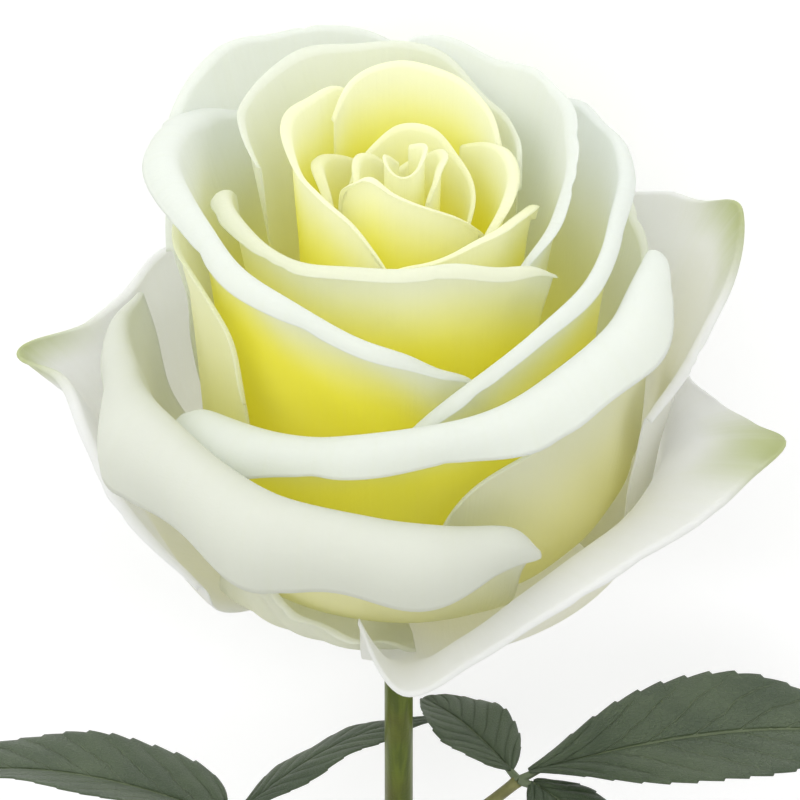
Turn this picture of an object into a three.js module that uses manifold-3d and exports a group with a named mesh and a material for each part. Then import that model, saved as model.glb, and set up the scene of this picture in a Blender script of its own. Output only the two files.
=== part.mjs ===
// A cut rose lying on its side: a half-open bloom of twenty-seven petals on a hip with five sepals,
// a thorned stem and two leaves of three leaflets. Millimetres, +Z up, stem end towards -Y.
// The rose is grown upright first: x to its right, y up along the stem with 0 where the petals are set,
// z to its front. Azimuth is measured round the stem from the front towards the right, in degrees.
import * as THREE from "three";
import Module from "manifold-3d";

// ---- driving dimensions ----
const bloomRadius = 56.4; // reach of the widest guard petal from the stem axis
const bloomHeight = 74.8; // rim of the tallest inner petal above the hip
const petalThickness = 0.4;
const hipRadius = 5.6;
const hipLength = 11;
const receptacleHeight = 13; // cone inside the bloom on which the petals are set in order
const sepalLength = 17;
const sepalWidth = 6.5;
const stemLength = 268;
const stemTopRadius = 2.15;
const stemEndRadius = 2.7;
const stemBow = 4; // sideways bow of the stem towards its cut end
const cutAngle = 38; // slant of the cut, from square
const thornLength = 5;
const thornCount = 8;
const leafNode = 75; // how far below the hip's top the upper leaf leaves the stem
const leafletScale = 1; // size of the leaflets
const leafThickness = 0.6;
const petioleRadius = 0.95;

const RADIAL = bloomRadius / 56.4;
const HEIGHT = bloomHeight / 74.8;
const GAP = 0.3; // clearance kept between neighbouring pieces
const rad = THREE.MathUtils.degToRad;

// ---- petals, from the heart outwards ----
// Name, radius of the bowl, height where the bowl stands upright, how late the rim leans out, degrees the
// lip rolls over, then stations along the rim: [azimuth, radius, height, length of the lip].
const PETALS = [
  ["core", 2.4, 20, 1.6, 60, [[-166, 2.2, 68, 0.5], [-90, 2.4, 71, 0.6], [0, 2.5, 69.5, 0.6],
    [90, 2.9, 72, 0.8], [166, 3, 70, 0.8]]],
  ["bud_1", 4.2, 20, 1.6, 80, [[40, 4.6, 66, 0.8], [75, 5, 70.5, 1.2], [110, 5.2, 70, 1.2],
    [150, 5.2, 67, 1], [190, 5.2, 64, 0.8]]],
  ["bud_2", 5.4, 20, 1.6, 80, [[190, 5.6, 63, 0.8], [225, 5.9, 67.5, 1], [260, 6, 69, 1.2],
    [300, 6.2, 66, 1], [340, 6.3, 62, 0.8]]],
  ["bud_arch", 7, 21, 1.8, 60, [[60, 8.6, 58, 0.6], [80, 9.2, 63, 0.8], [105, 9, 65.5, 0.9],
    [128, 8.8, 66.5, 1], [153, 8.2, 69.2, 1], [183, 8, 69, 1], [208, 8, 66.8, 0.9],
    [235, 7.6, 64.5, 0.8], [262, 7.4, 62, 0.6]]],
  ["bud_front", 8.2, 22, 1.6, 90, [[-80, 8.4, 62, 0.8], [-68, 8.4, 67.5, 1], [-45, 8.4, 71.5, 1.4],
    [-28, 8.6, 73.6, 1.6], [-10, 8.6, 72, 1], [8, 8.7, 70.5, 0.8], [42, 9.5, 66.8, 0.8],
    [70, 10.6, 61, 0.8], [84, 11, 57, 0.6]]],
  ["bud_left", 9, 22, 2, 100, [[-150, 10.4, 62, 0.8], [-130, 10.8, 65, 1], [-110, 11, 67, 1.6],
    [-92, 10.6, 68, 2], [-78, 10, 66, 1.6], [-62, 9.8, 63, 1]]],
  ["bud_right", 10.6, 22, 2, 100, [[48, 12.6, 60, 0.8], [58, 13.4, 64.5, 1.4], [70, 14, 67, 2],
    [85, 14.2, 68, 2], [102, 13.6, 69, 1.6], [118, 13, 68, 1], [140, 12.4, 65, 0.8]]],
  ["inner_back", 12.4, 22, 2, 70, [[110, 14.2, 66, 0.8], [128, 14.6, 71, 1], [142, 14.6, 73, 1],
    [161, 14.6, 74.4, 1], [182, 14.6, 74.8, 1], [201, 14, 74.3, 1], [214, 13.2, 73.4, 1],
    [228, 12.6, 70, 0.8]]],
  ["inner_left", 13.4, 22, 2.2, 80, [[200, 15.8, 68, 0.8], [215, 16, 72.2, 1], [235, 15.6, 72.6, 1.4],
    [256, 15.2, 73.6, 1.8], [272, 14.8, 74, 1.8], [288, 14.3, 72, 1.2], [311, 14.3, 72.4, 1],
    [328, 14.5, 71.2, 1], [345, 15, 67, 0.8], [354, 15.2, 63, 0.6]]],
  ["inner_right", 14.6, 23, 2.2, 90, [[-14, 16, 58, 0.6], [-2, 16, 65.3, 0.8], [13, 16.1, 66, 1],
    [38, 16.4, 67.8, 1.4], [62, 16.4, 66.6, 2], [80, 17, 64.6, 2.2], [90, 17.4, 60, 1]]],
  ["cup_back", 16.4, 23, 2.4, 70, [[102, 16.2, 62, 0.8], [112, 17, 66.6, 0.8], [128, 18.8, 66.6, 0.8],
    [149, 21.6, 66, 1], [171, 24.2, 69, 1.2], [190, 25, 70.6, 1.4], [206, 25, 71.2, 1.6],
    [225, 25, 70.6, 1.6], [240, 24, 70, 1.4], [256, 21.4, 70.6, 1.2], [270, 19.6, 69, 0.8]]],
  ["cup_right", 17.8, 23, 2.4, 80, [[38, 19.6, 58, 0.8], [50, 21, 64.6, 1.4], [60, 21.8, 67.4, 2],
    [72, 21.9, 69.4, 2.4], [88, 22.2, 71.4, 2.4], [102, 22.4, 71.8, 2.2], [118, 23.6, 72, 1.6],
    [138, 25.6, 70.2, 1.2], [152, 26.6, 68.4, 1], [166, 27, 70.2, 1], [177, 27.4, 68.4, 1],
    [185, 27.4, 63, 0.8]]],
  ["cup_front", 19.8, 24, 2.4, 130, [[-94, 23, 63, 1.4], [-84, 23.2, 66.6, 3], [-70, 23.4, 68, 3.2],
    [-55, 22.6, 67.4, 2.8], [-38, 21.8, 67.8, 2.6], [-21, 21.4, 69, 2.6], [0, 21.5, 69.8, 3],
    [16, 21.7, 70, 3.2], [32, 22.2, 67.8, 2.8], [45, 23, 66, 2.2], [55, 24.6, 62.6, 1]]],
  ["left", 25, 25, 3.5, 140, [[-146, 29, 57, 2], [-132, 29.8, 61, 4], [-118, 30, 65, 5],
    [-104, 30, 69, 5.5], [-92, 29.8, 70.6, 5.5], [-78, 29.4, 70.8, 5.2], [-62, 29, 70.6, 4.8],
    [-44, 28.8, 68.6, 4.2], [-28, 28.8, 67, 3.8], [-12, 28.8, 64.6, 3.2], [0, 28.8, 62, 2.6],
    [9, 28.6, 58.6, 1.8], [17, 28, 56, 1.2], [25, 26.4, 49, 0.8]]],
  ["right", 26.8, 25, 3.5, 130, [[-6, 31.4, 44, 1.5], [2, 31.6, 50.5, 2.4], [18, 31.8, 59.4, 2.8],
    [36, 31.4, 64.8, 2.8], [52, 30.6, 66, 2.8], [68, 29.6, 67.5, 3], [86, 29.2, 68.6, 2.6],
    [100, 29, 68.6, 2.4], [113, 28.6, 67, 2], [126, 28.6, 66, 2], [140, 29, 62, 2], [154, 29, 55, 1.5]]],
  ["left_side", 28.2, 27, 3, 60, [[-136, 30.4, 48, 1], [-115, 30.8, 58, 1], [-90, 30.8, 60, 1],
    [-66, 30.6, 61, 1], [-50, 30.4, 58, 1], [-44, 30.4, 46, 0.8]]],
  ["back_left", 30.2, 27, 3.5, 120, [[166, 34.5, 52, 1.5], [182, 35.4, 61.6, 2], [196, 36.4, 64.6, 2.2],
    [209, 37.2, 66, 2.2], [222, 37, 66.8, 2.4], [234, 35.8, 66.4, 2.4], [243, 34.6, 65.4, 2.2],
    [252, 33.2, 58, 1.8], [258, 32.6, 48, 1.5]]],
  ["front_band", 31.4, 26, 4, 150, [[-56, 34.4, 38, 3], [-46, 34.6, 45.4, 6], [-30, 35, 49.4, 6.6],
    [-15, 35.8, 52, 6], [5, 36, 54, 5], [20, 37, 55.4, 5], [34, 38.4, 57.6, 5], [48, 39.6, 60, 4.4],
    [60, 39.6, 61, 3.6], [70, 38.6, 60.4, 2.8], [80, 36.6, 57, 2.2], [89, 34, 50, 1.6]]],
  ["back_right", 32.6, 27, 3, 120, [[98, 33.6, 46, 1.2], [112, 34.2, 50, 1.6], [135, 34.8, 52, 2],
    [152, 34.8, 51, 1.6], [167, 34.2, 46, 1.2]]],
  ["front_under", 33.8, 26, 3, 60, [[6, 36.4, 32, 0.8], [11, 36.8, 41, 1], [20, 37.4, 47, 1],
    [38, 37.6, 50, 1], [56, 37, 51, 1], [70, 35.4, 48, 1], [80, 34.6, 40, 0.8]]],
  ["front_low", 35, 23, 3.4, 165, [[-104, 38, 38, 2], [-90, 38.6, 40.6, 5], [-78, 38.2, 42.6, 8.5],
    [-62, 39.6, 46.8, 13.5], [-50, 41.2, 49.2, 18], [-36, 42.4, 48.4, 19], [-20, 42.4, 46.4, 18],
    [-5, 42.2, 44.6, 16.5], [8, 42, 43, 14.5], [20, 41.8, 40, 8], [26, 41.4, 34, 1.5]]],
  ["guard_front", 35.2, 14, 2, 100, [[-46, 36, 21, 1], [-40, 36, 24, 1.4], [-34, 36.2, 21.6, 1.4],
    [-26, 36.4, 18, 1.4], [-14, 36, 15, 1.2], [-4, 35, 13, 0.8], [3, 32.4, 9.4, 0.6]]],
  ["right_back", 36, 20, 2.6, 120, [[58, 38.4, 42, 1.5], [68, 39.6, 44.4, 1.6], [80, 42.4, 47, 1.6],
    [88, 45, 50.4, 1.4], [96, 46.2, 57.6, 0.6], [104, 42.8, 54, 1.2], [114, 40.6, 50.5, 1.4],
    [124, 39, 46, 1.5], [136, 37.8, 40, 1.5]]],
  ["guard_left", 36.8, 14, 2, 120, [[-132, 37.2, 33, 1.2], [-118, 37.8, 38, 1.4], [-106, 39.6, 38, 1.6],
    [-96, 44.4, 37, 1.6], [-87, 53.4, 37.4, 0.5], [-79, 48, 39, 1.4], [-68, 46.6, 36, 2],
    [-56, 45, 30, 1.8], [-48, 43.6, 25, 1.4], [-43, 41, 19, 0.8]]],
  ["guard_right", 37.6, 15, 7, 140, [[-9, 38.6, 21, 1], [0, 46, 16, 1.2], [12, 46.8, 22.5, 1.4],
    [24, 48.6, 30, 1.6], [38, 49.6, 34.6, 1.8], [50, 51.6, 36, 1.8], [60, 54, 38, 1.6],
    [66, 56.4, 39.4, 0.5], [72, 50.2, 36.4, 1.4], [79, 44.6, 33.4, 1.4], [86, 41, 32, 1.2],
    [95, 39.4, 30, 1]]],
  ["guard_back_a", 38.4, 16, 2.4, 130, [[126, 40.5, 20, 1.5], [138, 44, 27, 3], [150, 48, 31, 3.4],
    [162, 48, 31, 3], [176, 44, 25, 1.5]]],
  ["guard_back_b", 39, 15, 2.4, 130, [[184, 44, 25, 1.5], [198, 48, 31, 3], [210, 48, 31, 3.4],
    [222, 44, 27, 3], [234, 40.5, 20, 1.5]]],
];

// Smooth value between stations: cubic through the rows, slopes from the neighbours on both sides.
function between(rows, places, s) {
  const last = rows.length - 1;
  let i = 0;
  while (i < last - 1 && s > places[i + 1]) i++;
  const span = places[i + 1] - places[i];
  const t = (s - places[i]) / span;
  const slope = (k, c) => {
    const a = Math.max(k - 1, 0);
    const b = Math.min(k + 1, last);
    if (a === k || b === k) return (rows[b][c] - rows[a][c]) / (places[b] - places[a]);
    const before = places[k] - places[a];
    const after = places[b] - places[k];
    const d1 = (rows[k][c] - rows[a][c]) / before;
    const d2 = (rows[b][c] - rows[k][c]) / after;
    return (d1 * after + d2 * before) / (before + after);
  };
  return rows[i].map((_, c) =>
    (2 * t ** 3 - 3 * t ** 2 + 1) * rows[i][c] + (t ** 3 - 2 * t ** 2 + t) * span * slope(i, c) +
    (3 * t ** 2 - 2 * t ** 3) * rows[i + 1][c] + (t ** 3 - t ** 2) * span * slope(i + 1, c));
}

const around = (azimuth, radius, height) =>
  new THREE.Vector3(radius * Math.sin(rad(azimuth)), height, radius * Math.cos(rad(azimuth)));

// Grid of points over one petal: columns run along the rim, rows from the claw to the rim and round the lip.
function petalGrid(order, columns, rows, lipRows) {
  const [petal, bowl, bowlTop, lean, turn, table] = PETALS[order];
  const [clawWidth, widening] = petal.startsWith("guard") ? [0.8, 4] : [0.4, 10];
  const rank = order / (PETALS.length - 1);
  const clawRadius = 0.9 + (hipRadius - 1.3) * rank;
  const clawHeight = receptacleHeight * (1 - rank);
  const stations = table.map(([az, r, h, lip]) => [az, r * RADIAL, h * HEIGHT, lip]);
  const places = [0];
  for (let i = 1; i < stations.length; i++) {
    const [a, b] = [stations[i - 1], stations[i]];
    places.push(places[i - 1] + around(a[0], a[1], a[2]).distanceTo(around(b[0], b[1], b[2])));
  }
  const middle = (stations[0][0] + stations.at(-1)[0]) / 2;
  const bowlRadius = bowl * RADIAL;
  const bowlHeight = bowlTop * HEIGHT;
  const bowlAt = (y) => {
    const t = THREE.MathUtils.clamp((y - clawHeight) / (bowlHeight - clawHeight), 0, 1);
    return clawRadius + (bowlRadius - clawRadius) * Math.sqrt(1 - (1 - t) ** 2);
  };
  const grid = [];
  for (let c = 0; c <= columns; c++) {
    const [az, rim, top, lipLength] = between(stations, places, (places.at(-1) * c) / columns);
    const column = [];
    let [r, y] = [0, 0];
    let direction = 0;
    for (let k = 0; k <= rows; k++) {
      const rise = (k / rows) ** 2;
      const nextY = clawHeight + (top - clawHeight) * rise;
      const nextR = bowlAt(nextY) + (rim - bowlAt(top)) * rise ** lean;
      direction = Math.atan2(nextR - r, nextY - y);
      [r, y] = [nextR, nextY];
      const width = clawWidth + (1 - clawWidth) * THREE.MathUtils.smoothstep(y - clawHeight, 0, widening);
      column.push(around(middle + (az - middle) * width, r, y));
    }
    for (let k = 0; k < lipRows; k++) {
      const lean = direction + (rad(turn) * (k + 0.5)) / lipRows;
      r += (Math.sin(lean) * Math.max(lipLength, 0.3)) / lipRows;
      y += (Math.cos(lean) * Math.max(lipLength, 0.3)) / lipRows;
      column.push(around(az, r, y));
    }
    grid.push(column);
  }
  return grid;
}

// Closed sheet of even thickness over a grid of points; the grid's normal leaves its front face.
function sheet(grid, thickness) {
  const [n, m] = [grid.length, grid[0].length];
  const sides = [[], []];
  for (let i = 0; i < n; i++) {
    for (let j = 0; j < m; j++) {
      const along = grid[Math.min(i + 1, n - 1)][j].clone().sub(grid[Math.max(i - 1, 0)][j]);
      const up = grid[i][Math.min(j + 1, m - 1)].clone().sub(grid[i][Math.max(j - 1, 0)]);
      const normal = along.cross(up).normalize().multiplyScalar(thickness / 2);
      sides[0].push(grid[i][j].clone().add(normal));
      sides[1].push(grid[i][j].clone().sub(normal));
    }
  }
  const points = [...sides[0], ...sides[1]];
  const front = (i, j) => i * m + j;
  const back = (i, j) => n * m + i * m + j;
  const faces = [];
  const quad = (a, b, c, d) => faces.push(a, b, c, a, c, d);
  for (let i = 0; i < n - 1; i++) {
    for (let j = 0; j < m - 1; j++) {
      quad(front(i, j), front(i + 1, j), front(i + 1, j + 1), front(i, j + 1));
      quad(back(i, j), back(i, j + 1), back(i + 1, j + 1), back(i + 1, j));
    }
    quad(front(i, m - 1), front(i + 1, m - 1), back(i + 1, m - 1), back(i, m - 1));
    quad(front(i + 1, 0), front(i, 0), back(i, 0), back(i + 1, 0));
  }
  for (let j = 0; j < m - 1; j++) {
    quad(front(n - 1, j), back(n - 1, j), back(n - 1, j + 1), front(n - 1, j + 1));
    quad(front(0, j), front(0, j + 1), back(0, j + 1), back(0, j));
  }
  return geometry(points, faces);
}

function geometry(points, faces) {
  const made = new THREE.BufferGeometry();
  made.setAttribute("position", new THREE.Float32BufferAttribute(points.flatMap((p) => p.toArray()), 3));
  made.setIndex(faces);
  made.computeVertexNormals();
  return made;
}

// Round bar along a path, with its own radius at each point and the last ring slanted.
function bar(path, radii, sides, slant = 0) {
  const points = [];
  const faces = [];
  const last = path.length - 1;
  path.forEach((centre, k) => {
    const ahead = path[Math.min(k + 1, last)].clone().sub(path[Math.max(k - 1, 0)]).normalize();
    const across = new THREE.Vector3(0, 0, 1).cross(ahead).normalize();
    const over = ahead.clone().cross(across);
    for (let s = 0; s < sides; s++) {
      const turn = (2 * Math.PI * s) / sides;
      const out = across.clone().multiplyScalar(Math.cos(turn)).addScaledVector(over, Math.sin(turn));
      const shift = k === last ? Math.tan(rad(slant)) * radii[k] * Math.cos(turn) : 0;
      points.push(centre.clone().addScaledVector(out, radii[k]).addScaledVector(ahead, shift));
    }
  });
  for (let k = 0; k < last; k++) {
    for (let s = 0; s < sides; s++) {
      const [a, b] = [k * sides + s, k * sides + ((s + 1) % sides)];
      faces.push(a, b, b + sides, a, b + sides, a + sides);
    }
  }
  for (let s = 1; s < sides - 1; s++) {
    faces.push(0, s + 1, s, last * sides, last * sides + s, last * sides + s + 1);
  }
  return geometry(points, faces);
}

const rose = new THREE.Group();
rose.name = "cut_rose";
function piece(name, shape, colour, roughness) {
  const material = new THREE.MeshStandardMaterial({ color: colour, roughness, metalness: 0 });
  const mesh = new THREE.Mesh(shape, material);
  mesh.name = name;
  rose.add(mesh);
}

PETALS.forEach(([name, , , , turn], order) => {
  const small = order < 10;
  const lipRows = small ? 1 : turn >= 140 ? 3 : 2;
  const grid = petalGrid(order, small ? 7 : 9, small ? 6 : 7, lipRows);
  piece("petal_" + name, sheet(grid, petalThickness), small ? 0xf2efb0 : 0xf1f2e6, 0.6);
});

// ---- hip with the receptacle cone on top ----
const hipProfile = [[0, -hipLength], [stemTopRadius + 0.1, -hipLength], [hipRadius * 0.82, -hipLength * 0.72],
  [hipRadius, -hipLength * 0.4], [hipRadius * 0.93, -1.2], [hipRadius - 1.1, -0.6],
  [0.4, receptacleHeight - 0.8], [0, receptacleHeight - 0.7]];
piece("hip", new THREE.LatheGeometry(hipProfile.map(([r, h]) => new THREE.Vector2(r, h)), 16), 0x6f8f3a, 0.5);

// ---- sepals, spread flat under the bloom ----
for (let k = 0; k < 5; k++) {
  const grid = [];
  const azimuth = 12 + 72 * k;
  for (let i = 0; i <= 4; i++) {
    const row = [];
    for (let j = 0; j <= 6; j++) {
      const t = j / 6;
      const halfWidth = (sepalWidth / 2) * (0.15 + 0.85 * Math.sin(Math.PI * (0.25 + 0.72 * t)) ** 1.3);
      const height = -3.4 + 3.2 * t - 2.6 * t ** 4;
      const centre = around(azimuth, hipRadius + 0.6 + sepalLength * t, height);
      row.push(centre.add(around(azimuth + 90, (i / 2 - 1) * halfWidth, -0.25 * Math.abs(i / 2 - 1))));
    }
    grid.push(row);
  }
  piece("sepal_" + (k + 1), sheet(grid, 0.6), 0x6e8c3c, 0.6);
}

// ---- stem, with its thorns and the swellings where the leaves start ----
const stemTop = -hipLength - GAP;
const bowAt = (y) => stemBow * Math.max(0, (-60 - y) / 220) ** 2;
const stemAxis = (y) => new THREE.Vector3(-0.6 - bowAt(y), y, 0.4 * bowAt(y));
const stemRadius = (y) => THREE.MathUtils.lerp(stemTopRadius, stemEndRadius, (stemTop - y) / stemLength);
const leafHeights = [-leafNode, -leafNode - 9];
const stemPath = [];
const stemRadii = [];
for (let k = 0; k <= 24; k++) {
  const y = stemTop - (stemLength * k) / 24;
  const swelling = leafHeights.reduce((sum, at) => sum + 0.5 * Math.exp(-(((y - at) / 4) ** 2)), 0);
  stemPath.push(stemAxis(y));
  stemRadii.push(stemRadius(y) + swelling);
}
const wasm = await Module();
wasm.setup();
function solid(shape) {
  const triVerts = new Uint32Array(shape.index.array);
  const vertProperties = new Float32Array(shape.attributes.position.array);
  return new wasm.Manifold(new wasm.Mesh({ numProp: 3, vertProperties, triVerts }));
}
let stem = solid(bar(stemPath, stemRadii, 12, cutAngle));
for (let k = 0; k < thornCount; k++) {
  const y = stemTop - 78 - ((stemLength - 100) * k) / (thornCount - 1);
  const out = around(70 + 137.5 * k, 1, 0);
  const root = stemAxis(y).addScaledVector(out, stemRadius(y) - 0.7);
  const path = [0, 0.5, 1].map((t) =>
    root.clone().addScaledVector(out, thornLength * t).add(new THREE.Vector3(0, -2.2 * t * t, 0)));
  stem = stem.add(solid(bar(path, [1.7, 0.8, 0.12], 6)));
}
const cut = stem.getMesh();
const stemPoints = [];
for (let k = 0; k < cut.vertProperties.length; k += cut.numProp) {
  stemPoints.push(new THREE.Vector3(...cut.vertProperties.slice(k, k + 3)));
}
piece("stem", geometry(stemPoints, [...cut.triVerts]), 0x7d9a45, 0.45);

// ---- leaves: a petiole and three leaflets each ----
// Leaflet: base point, direction to the tip, upper side, length, width, fold of each half, arch.
function leaflet(name, base, along, upper, length, width, folds, arch, blunt = 0) {
  const ahead = new THREE.Vector3(...along).normalize();
  const side = ahead.clone().cross(new THREE.Vector3(...upper)).normalize();
  const normal = side.clone().cross(ahead);
  const grid = [];
  for (let i = 0; i <= 6; i++) {
    const s = i / 3 - 1;
    const fold = rad(folds[s < 0 ? 0 : 1]);
    const row = [];
    for (let j = 0; j <= 8; j++) {
      const t = j / 8;
      const half = leafletScale * (0.5 + (width / 2 - 0.5) *
        Math.sin(Math.PI * t ** (0.82 - 0.22 * blunt)) ** (0.85 - 0.3 * blunt));
      const lift = leafletScale * length * arch * (1 - (2 * t - 1) ** 2) - 0.12 * length * t ** 3;
      row.push(new THREE.Vector3(...base)
        .addScaledVector(ahead, leafletScale * length * t)
        .addScaledVector(normal, lift - Math.abs(s) * half * Math.sin(fold))
        .addScaledVector(side, s * half * Math.cos(fold)));
    }
    grid.push(row);
  }
  piece(name, sheet(grid, leafThickness), 0x4c6150, 0.4);
}

function petiole(name, from, to) {
  const start = stemAxis(from[1]);
  const end = new THREE.Vector3(...to);
  const out = end.clone().sub(start).setY(0).normalize();
  start.addScaledVector(out, stemRadius(from[1]) + 0.5 + GAP + 0.8);
  const path = [0, 0.3, 0.65, 1].map((t) =>
    start.clone().lerp(end, t).add(new THREE.Vector3(0, -3.4 * t * (1 - t), 0)));
  piece(name, bar(path, [1.5, 1.2, 1, 1].map((k) => k * petioleRadius), 8), 0x8a9a58, 0.5);
}

const rightFork = [18.3, -55.4, 2.2];
petiole("leaf_right_petiole", [0, leafHeights[0], 0], rightFork);
leaflet("leaf_right_terminal", [20, -54.8, 0.8], [1, 0.02, -0.19], [0, 1, 0.12],
  61, 25, [4, -20], 0.05, -0.8);
leaflet("leaf_right_back", [17.2, -54.6, 0.6], [-0.7, 0.04, -0.82], [0.05, 1, 0.1],
  21.5, 14.5, [-26, 8], 0.05);
leaflet("leaf_right_front", [20.6, -55.7, 2.1], [0.66, -0.03, 0.74], [0.1, 1, -0.1], 26, 14, [8, 8], 0.05);
const leftFork = [-26.6, -61, 6.2];
petiole("leaf_left_petiole", [0, leafHeights[1], 0], leftFork);
leaflet("leaf_left_terminal", [-28.4, -60.6, 5.4], [-1, 0.08, -0.2], [-0.1, 1, -0.05],
  50, 24, [-38, 12], 0.07, 1);
leaflet("leaf_left_back", [-25.2, -60.2, 4], [0.82, 0.08, -0.58], [-0.3, 0.85, -0.44], 37, 12, [6, 6], 0.05);
leaflet("leaf_left_front", [-27, -61.8, 8.2], [-0.35, -0.1, 0.93], [-0.1, 1, 0], 27, 15, [8, 8], 0.05);

// ---- laid down: the lowest line from the cut end to the back petals becomes level ----
const stemEnd = stemPath.at(-1);
const heel = new THREE.Vector3(0, stemEnd.y, stemEnd.z - stemEndRadius);
let restTilt = Infinity;
for (const mesh of rose.children.filter((m) => m.name.startsWith("petal_"))) {
  const position = mesh.geometry.attributes.position;
  for (let k = 0; k < position.count; k++) {
    restTilt = Math.min(restTilt, Math.atan2(position.getZ(k) - heel.z, position.getY(k) - heel.y));
  }
}
rose.rotation.x = -restTilt;
const laid = new THREE.Box3().setFromObject(rose, true);
rose.position.set(-(laid.min.x + laid.max.x) / 2, -(laid.min.y + laid.max.y) / 2, -laid.min.z);

const part = new THREE.Group();
part.name = "cut_rose_lying";
part.add(rose);
export default part;
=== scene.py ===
import math
import bpy
import numpy as np
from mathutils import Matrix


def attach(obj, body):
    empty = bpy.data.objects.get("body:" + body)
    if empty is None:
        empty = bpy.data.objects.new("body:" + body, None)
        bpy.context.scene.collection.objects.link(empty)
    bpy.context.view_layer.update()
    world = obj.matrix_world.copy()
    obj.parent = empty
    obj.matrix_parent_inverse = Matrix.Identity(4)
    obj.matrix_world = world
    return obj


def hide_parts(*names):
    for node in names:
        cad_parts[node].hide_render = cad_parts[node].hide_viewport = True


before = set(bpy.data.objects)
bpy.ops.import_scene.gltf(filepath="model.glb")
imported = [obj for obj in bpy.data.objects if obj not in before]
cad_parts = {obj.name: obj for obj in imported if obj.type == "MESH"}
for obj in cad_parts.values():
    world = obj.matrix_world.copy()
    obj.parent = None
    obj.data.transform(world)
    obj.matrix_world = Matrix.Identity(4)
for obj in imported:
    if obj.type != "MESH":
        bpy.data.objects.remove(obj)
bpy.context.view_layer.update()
scene = bpy.context.scene

# ---------------------------------------------------------------------------------------------------------
# Petals: soft, satiny sheets about a third of a millimetre thick, cream white at the rim and yellow towards
# the claw. Each is set on the receptacle inside the next one, cups round the bud and rolls its rim outwards.
# ---------------------------------------------------------------------------------------------------------
LYING_TILT = math.radians(8.6573)  # how far the stem is tipped up from level
PETAL_SEAT = np.array([-1.10, 100.72, 43.14])  # where the petals are set, once the rose lies down
PETAL_THICKNESS = 0.36
FREE_EDGE = 0.45  # share of its thickness that a sheet keeps at its free edges
SHORTEST_LIP = 0.3
RECEPTACLE_HEIGHT = 13
CLAW_RADII = (0.9, 5.2)  # distance of the innermost and the outermost claw from the axis
BUD_PETALS = 10  # the first ten petals are small, plain and yellow almost to the rim
RIM_WAVE, RIM_WAVE_LENGTH = 0.35, 34  # how high and how long the rim's waves are
LIP_WAVE, LIP_WAVE_LENGTH = 0.1, 21  # share of its length that a lip gains and loses along the rim
NICKS = 4


def laid(points):
    """The rose's own frame in millimetres to the table's frame in metres."""
    p = np.asarray(points, float)
    c, s = math.cos(LYING_TILT), math.sin(LYING_TILT)
    turned = np.stack([p[..., 0], p[..., 1] * c - p[..., 2] * s, p[..., 1] * s + p[..., 2] * c], -1)
    return (turned + PETAL_SEAT) * 0.001


def around(azimuth, radius, height):
    """Points at an azimuth, a distance from the stem's axis and a height."""
    a = np.radians(azimuth)
    return np.stack([radius * np.sin(a), height + 0 * a, radius * np.cos(a)], -1)


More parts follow.
